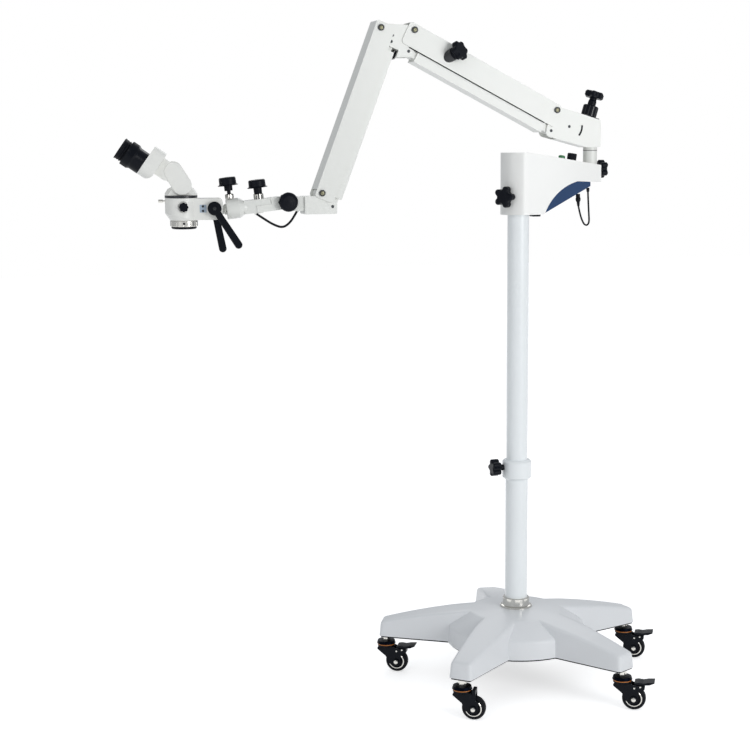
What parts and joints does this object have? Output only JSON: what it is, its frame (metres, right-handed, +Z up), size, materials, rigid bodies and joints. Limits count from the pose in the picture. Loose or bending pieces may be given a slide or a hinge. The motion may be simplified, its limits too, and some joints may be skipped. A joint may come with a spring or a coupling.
{
  "type": "surgical microscope",
  "caption": "Binocular operating microscope on two linked balance arms, with an adjustable column and a five-arm rolling base with brakes.",
  "frame": {"origin": "on the floor, under the middle of the stored pose's outline", "axes": "+Z up, longest; the two balance arms lie along X with the microscope head towards -X"},
  "size_m": [1.2619, 0.6402, 1.4875],
  "materials": {
    "base_paint": "satin light grey powder coat",
    "chrome": "polished",
    "fork_plastic": "moulded black",
    "tyre_grey": "grey rubber",
    "column_paint": "satin cool white",
    "knob_black": "moulded black with a fine grain",
    "housing_white": "satin cool white",
    "belly_blue": "satin dark blue",
    "cord_black": "flexible black cable",
    "button_green": "gloss",
    "spindle_steel": "turned",
    "arm_paint": "satin warm white",
    "spring_steel": "drawn tube",
    "head_paint": "satin white",
    "lever_black": "black",
    "objective_metal": "turned and polished",
    "eye_black": "soft black"
  },
  "bodies": {
    "base": {"star_base": "base_paint", "caster_stems": "chrome", "column_ferrule": "chrome", "lower_column": "column_paint", "height_collar": "column_paint"},
    "caster_fork_1": {"caster_fork_1": "fork_plastic"},
    "caster_wheel_1": {"caster_wheel_1": "tyre_grey"},
    "brake_pedal_1": {"brake_pedal_1": "fork_plastic"},
    "caster_fork_2": {"caster_fork_2": "fork_plastic"},
    "caster_wheel_2": {"caster_wheel_2": "tyre_grey"},
    "caster_fork_3": {"caster_fork_3": "fork_plastic"},
    "caster_wheel_3": {"caster_wheel_3": "tyre_grey"},
    "brake_pedal_3": {"brake_pedal_3": "fork_plastic"},
    "caster_fork_4": {"caster_fork_4": "fork_plastic"},
    "caster_wheel_4": {"caster_wheel_4": "tyre_grey"},
    "brake_pedal_4": {"brake_pedal_4": "fork_plastic"},
    "caster_fork_5": {"caster_fork_5": "fork_plastic"},
    "caster_wheel_5": {"caster_wheel_5": "tyre_grey"},
    "height_knob": {"height_knob": "knob_black"},
    "upper_column": {"upper_column": "column_paint"},
    "housing": {"housing_shell": "housing_white", "housing_belly": "belly_blue", "lamp_cord": "cord_black", "lamp_cord_plug": "cord_black"},
    "housing_knob": {"housing_knob": "knob_black"},
    "spindle_knob": {"spindle_knob": "knob_black"},
    "power_button": {"power_button": "button_green"},
    "brightness_knob": {"brightness_knob": "knob_black"},
    "arm_base": {"spindle": "spindle_steel", "arm_block": "arm_paint"},
    "tension_knob": {"tension_knob": "knob_black"},
    "rear_arm": {"rear_arm_cover": "arm_paint", "rear_spring": "spring_steel"},
    "rear_arm_link": {"rear_arm_link": "arm_paint"},
    "elbow_bracket": {"elbow_bracket": "arm_paint"},
    "arm_lock_knob": {"arm_lock_knob": "knob_black"},
    "front_arm": {"front_arm_cover": "arm_paint", "front_spring": "spring_steel"},
    "front_arm_link": {"front_arm_link": "arm_paint"},
    "end_bracket": {"end_bracket": "arm_paint"},
    "tilt_link": {"tilt_link": "arm_paint", "head_cord": "cord_black"},
    "tilt_knob": {"tilt_knob": "knob_black"},
    "swing_arm": {"swing_arm": "arm_paint"},
    "swing_knob": {"swing_knob": "knob_black"},
    "roll_shaft": {"roll_shaft": "arm_paint"},
    "roll_knob": {"roll_knob": "knob_black"},
    "head": {"head_yoke": "head_paint", "microscope_body": "head_paint"},
    "clamp_lever_near": {"clamp_lever_near": "lever_black"},
    "clamp_lever_far": {"clamp_lever_far": "lever_black"},
    "magnification_knob": {"magnification_knob": "knob_black"},
    "lock_screw": {"lock_screw": "spindle_steel"},
    "objective_ring": {"objective_ring": "objective_metal"},
    "binocular_base": {"binocular_base": "head_paint"},
    "tilt_tube": {"tilt_tube": "head_paint"},
    "prism_box_far": {"prism_box_far": "head_paint"},
    "prism_box_near": {"prism_box_near": "head_paint"},
    "eyepiece_near": {"eyepiece_near": "eye_black"},
    "eyepiece_far": {"eyepiece_far": "eye_black"}
  },
  "joints": [
    {"name": "caster_swivel_1", "type": "hinge", "parent": "base", "child": "caster_fork_1", "pos_m": [-0.01333, 0.13399, 0.058], "axis": [0, 0, 1], "continuous": true},
    {"name": "wheel_spin_1", "type": "hinge", "parent": "caster_fork_1", "child": "caster_wheel_1", "pos_m": [0.00918, 0.12099, 0.026], "axis": [0.5, 0.866, 0], "continuous": true},
    {"name": "brake_pedal_1", "type": "hinge", "parent": "caster_fork_1", "child": "brake_pedal_1", "pos_m": [0.02131, 0.11399, 0.0545], "axis": [0.5, 0.866, 0], "range_deg": [-10, 12]},
    {"name": "caster_swivel_2", "type": "hinge", "parent": "base", "child": "caster_fork_2", "pos_m": [0.04688, -0.21827, 0.058], "axis": [0, 0, 1], "continuous": true},
    {"name": "wheel_spin_2", "type": "hinge", "parent": "caster_fork_2", "child": "caster_wheel_2", "pos_m": [0.0694, -0.23127, 0.026], "axis": [0.5, 0.866, 0], "continuous": true},
    {"name": "caster_swivel_3", "type": "hinge", "parent": "base", "child": "caster_fork_3", "pos_m": [0.40051, -0.26986, 0.058], "axis": [0, 0, 1], "continuous": true},
    {"name": "wheel_spin_3", "type": "hinge", "parent": "caster_fork_3", "child": "caster_wheel_3", "pos_m": [0.42303, -0.28286, 0.026], "axis": [0.5, 0.866, 0], "continuous": true},
    {"name": "brake_pedal_3", "type": "hinge", "parent": "caster_fork_3", "child": "brake_pedal_3", "pos_m": [0.43515, -0.28986, 0.0545], "axis": [0.5, 0.866, 0], "range_deg": [-10, 12]},
    {"name": "caster_swivel_4", "type": "hinge", "parent": "base", "child": "caster_fork_4", "pos_m": [0.55885, 0.05052, 0.058], "axis": [0, 0, 1], "continuous": true},
    {"name": "wheel_spin_4", "type": "hinge", "parent": "caster_fork_4", "child": "caster_wheel_4", "pos_m": [0.58137, 0.03752, 0.026], "axis": [0.5, 0.866, 0], "continuous": true},
    {"name": "brake_pedal_4", "type": "hinge", "parent": "caster_fork_4", "child": "brake_pedal_4", "pos_m": [0.59349, 0.03052, 0.0545], "axis": [0.5, 0.866, 0], "range_deg": [-10, 12]},
    {"name": "caster_swivel_5", "type": "hinge", "parent": "base", "child": "caster_fork_5", "pos_m": [0.30308, 0.30012, 0.058], "axis": [0, 0, 1], "continuous": true},
    {"name": "wheel_spin_5", "type": "hinge", "parent": "caster_fork_5", "child": "caster_wheel_5", "pos_m": [0.3256, 0.28712, 0.026], "axis": [0.5, 0.866, 0], "continuous": true},
    {"name": "height_knob_turn", "type": "hinge", "parent": "base", "child": "height_knob", "pos_m": [0.2262, -0.0007, 0.497], "axis": [-1, 0, 0], "continuous": true},
    {"name": "column_height", "type": "slide", "parent": "base", "child": "upper_column", "axis": [0, 0, 1], "range_m": [-0.13, 0.1]},
    {"name": "housing_turn", "type": "hinge", "parent": "upper_column", "child": "housing", "pos_m": [0.2592, -0.0007, 1.12], "axis": [0, 0, 1], "range_deg": [-180, 180]},
    {"name": "housing_knob_turn", "type": "hinge", "parent": "housing", "child": "housing_knob", "pos_m": [0.22643, -0.02364, 1.11], "axis": [-0.8192, -0.5736, 0], "continuous": true},
    {"name": "spindle_knob_turn", "type": "hinge", "parent": "housing", "child": "spindle_knob", "pos_m": [0.4482, -0.0007, 1.1685], "axis": [1, 0, 0], "continuous": true},
    {"name": "power_button_press", "type": "slide", "parent": "housing", "child": "power_button", "axis": [-0.161, 0, -0.987], "range_m": [0, 0.002], "stiffness_N_per_m": 500},
    {"name": "brightness_turn", "type": "hinge", "parent": "housing", "child": "brightness_knob", "pos_m": [0.3862, -0.0007, 1.18761], "axis": [0.161, 0, 0.987], "range_deg": [-150, 150]},
    {"name": "arm_turn", "type": "hinge", "parent": "housing", "child": "arm_base", "pos_m": [0.4317, -0.0007, 1.2], "axis": [0, 0, 1], "range_deg": [-180, 180]},
    {"name": "tension_knob_turn", "type": "hinge", "parent": "arm_base", "child": "tension_knob", "pos_m": [0.4257, -0.0007, 1.28323], "axis": [0.2863, 0, 0.9581], "continuous": true},
    {"name": "rear_arm_lift", "type": "hinge", "parent": "arm_base", "child": "rear_arm", "pos_m": [0.3402, -0.0007, 1.299], "axis": [0, 1, 0], "range_deg": [-24, 26]},
    {"name": "rear_link_follow", "type": "hinge", "parent": "arm_base", "child": "rear_arm_link", "pos_m": [0.3275, -0.0007, 1.254], "axis": [0, 1, 0], "range_deg": [-24, 26]},
    {"name": "elbow_level", "type": "hinge", "parent": "rear_arm", "child": "elbow_bracket", "pos_m": [0.00875, -0.0007, 1.46788], "axis": [0, 1, 0], "range_deg": [-26, 24]},
    {"name": "arm_lock_turn", "type": "hinge", "parent": "rear_arm", "child": "arm_lock_knob", "pos_m": [0.09023, -0.0247, 1.41481], "axis": [0.4991, -0.7885, 0.3593], "continuous": true},
    {"name": "front_arm_lift", "type": "hinge", "parent": "elbow_bracket", "child": "front_arm", "pos_m": [-0.06655, -0.0007, 1.47188], "axis": [0, 1, 0], "range_deg": [-2, 45]},
    {"name": "front_link_follow", "type": "hinge", "parent": "elbow_bracket", "child": "front_arm_link", "pos_m": [-0.04285, -0.0007, 1.44318], "axis": [0, 1, 0], "range_deg": [-2, 45]},
    {"name": "end_level", "type": "hinge", "parent": "front_arm", "child": "end_bracket", "pos_m": [-0.19987, -0.0007, 1.12459], "axis": [0, 1, 0], "range_deg": [-45, 2]},
    {"name": "head_tilt", "type": "hinge", "parent": "end_bracket", "child": "tilt_link", "pos_m": [-0.2742, -0.0007, 1.107], "axis": [0, 1, 0], "range_deg": [-40, 40], "deforming": ["head_cord"]},
    {"name": "tilt_knob_turn", "type": "hinge", "parent": "end_bracket", "child": "tilt_knob", "pos_m": [-0.2742, -0.0152, 1.107], "axis": [0, -1, 0], "continuous": true},
    {"name": "head_swing", "type": "hinge", "parent": "tilt_link", "child": "swing_arm", "pos_m": [-0.33083, -0.0007, 1.10055], "axis": [-0.1132, 0, 0.9936], "range_deg": [-55, 75]},
    {"name": "swing_knob_turn", "type": "hinge", "parent": "swing_arm", "child": "swing_knob", "pos_m": [-0.33236, -0.0007, 1.11396], "axis": [-0.1132, 0, 0.9936], "continuous": true},
    {"name": "head_roll", "type": "hinge", "parent": "swing_arm", "child": "roll_shaft", "pos_m": [-0.39982, 0.01154, 1.09269], "axis": [-0.9785, 0.1736, -0.1115], "range_deg": [-40, 40]},
    {"name": "roll_knob_turn", "type": "hinge", "parent": "swing_arm", "child": "roll_knob", "pos_m": [-0.39294, 0.00989, 1.11501], "axis": [-0.1132, 0, 0.9936], "continuous": true},
    {"name": "head_pitch", "type": "hinge", "parent": "roll_shaft", "child": "head", "pos_m": [-0.42535, 0.01594, 1.09666], "axis": [0.1725, 0.9848, 0.0197], "range_deg": [-35, 25]},
    {"name": "clamp_lever_near_turn", "type": "hinge", "parent": "head", "child": "clamp_lever_near", "pos_m": [-0.42915, -0.00573, 1.09623], "axis": [0.1725, 0.9848, 0.0197], "range_deg": [-30, 30]},
    {"name": "clamp_lever_far_turn", "type": "hinge", "parent": "head", "child": "clamp_lever_far", "pos_m": [-0.42156, 0.0376, 1.0971], "axis": [0.1725, 0.9848, 0.0197], "range_deg": [-30, 30]},
    {"name": "magnification_turn", "type": "hinge", "parent": "head", "child": "magnification_knob", "pos_m": [-0.49446, -0.00653, 1.09931], "axis": [-0.1725, -0.9848, -0.0197], "continuous": true},
    {"name": "lock_screw_turn", "type": "hinge", "parent": "head", "child": "lock_screw", "pos_m": [-0.52683, 0.03342, 1.11134], "axis": [-0.985, 0.1725, 0.0017], "continuous": true},
    {"name": "fine_focus_turn", "type": "hinge", "parent": "head", "child": "objective_ring", "pos_m": [-0.48835, 0.02748, 1.07148], "axis": [-0.0017, -0.0197, 0.9998], "range_deg": [-160, 160]},
    {"name": "binocular_turn", "type": "hinge", "parent": "head", "child": "binocular_base", "pos_m": [-0.49336, 0.02742, 1.11828], "axis": [-0.0017, -0.0197, 0.9998], "range_deg": [-45, 45]},
    {"name": "binocular_tilt", "type": "hinge", "parent": "binocular_base", "child": "tilt_tube", "pos_m": [-0.49123, 0.02652, 1.14447], "axis": [0.1725, 0.9848, 0.0197], "range_deg": [-27, 90]},
    {"name": "eye_spread", "type": "hinge", "parent": "tilt_tube", "child": "prism_box_far", "pos_m": [-0.52831, 0.05389, 1.19281], "axis": [0.8078, -0.1301, -0.5749], "range_deg": [-7, 14]},
    {"name": "eye_spread_near", "type": "hinge", "parent": "tilt_tube", "child": "prism_box_near", "pos_m": [-0.53573, 0.01154, 1.19197], "axis": [0.8078, -0.1301, -0.5749], "range_deg": [-14, 7]},
    {"name": "dioptre_turn_near", "type": "hinge", "parent": "prism_box_near", "child": "eyepiece_near", "pos_m": [-0.57398, 0.00967, 1.18908], "axis": [-0.8078, 0.1301, 0.5749], "range_deg": [-150, 150]},
    {"name": "dioptre_turn_far", "type": "hinge", "parent": "prism_box_far", "child": "eyepiece_far", "pos_m": [-0.56363, 0.06876, 1.19026], "axis": [-0.8078, 0.1301, 0.5749], "range_deg": [-150, 150]}
  ],
  "couplings": [
    {"joint": "rear_link_follow", "follows": "rear_arm_lift", "ratio": 1},
    {"joint": "elbow_level", "follows": "rear_arm_lift", "ratio": -1},
    {"joint": "front_link_follow", "follows": "front_arm_lift", "ratio": 1},
    {"joint": "end_level", "follows": "front_arm_lift", "ratio": -1},
    {"joint": "eye_spread_near", "follows": "eye_spread", "ratio": -1}
  ]
}
